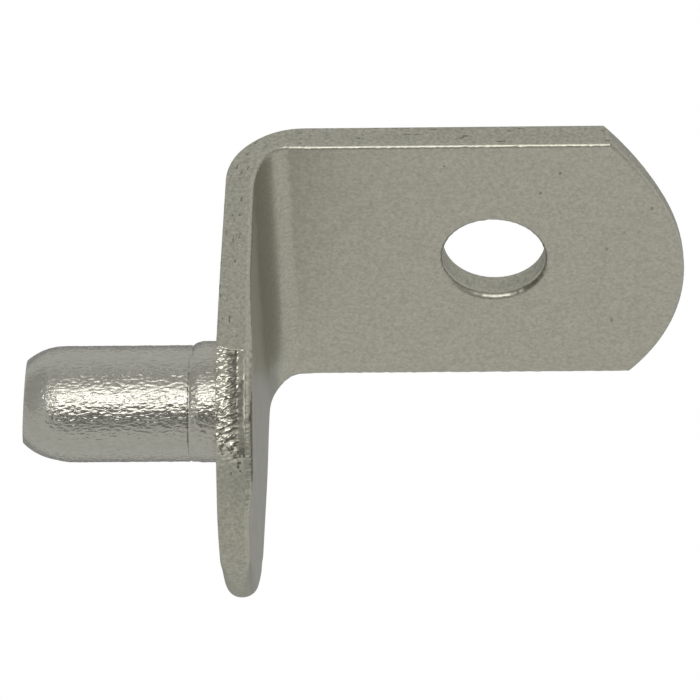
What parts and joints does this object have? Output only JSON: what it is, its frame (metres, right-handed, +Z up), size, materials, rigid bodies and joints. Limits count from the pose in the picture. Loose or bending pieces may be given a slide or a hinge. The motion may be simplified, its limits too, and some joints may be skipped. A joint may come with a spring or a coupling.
{
  "type": "shelf support pin",
  "caption": "L-shaped steel shelf support with a riveted round pin for the cabinet side, and a flat leg with a screw hole that the shelf rests on.",
  "frame": {"origin": "on the pin's axis at the foot of its shank, where the collar's bevel starts: the plane of the cabinet side", "axes": "+Z up as in use, pin towards -X, shelf leg towards +X with its bearing face up, strip width along Y"},
  "size_m": [0.0361, 0.0178, 0.0235],
  "materials": {
    "strip_nickel": "satin nickel plate on stamped steel strip, with bare-looking sheared edges",
    "pin_nickel": "brighter nickel plate with a fine orange-peel grain"
  },
  "bodies": {
    "root": {"bracket": "strip_nickel", "pin": "pin_nickel"}
  },
  "joints": []
}
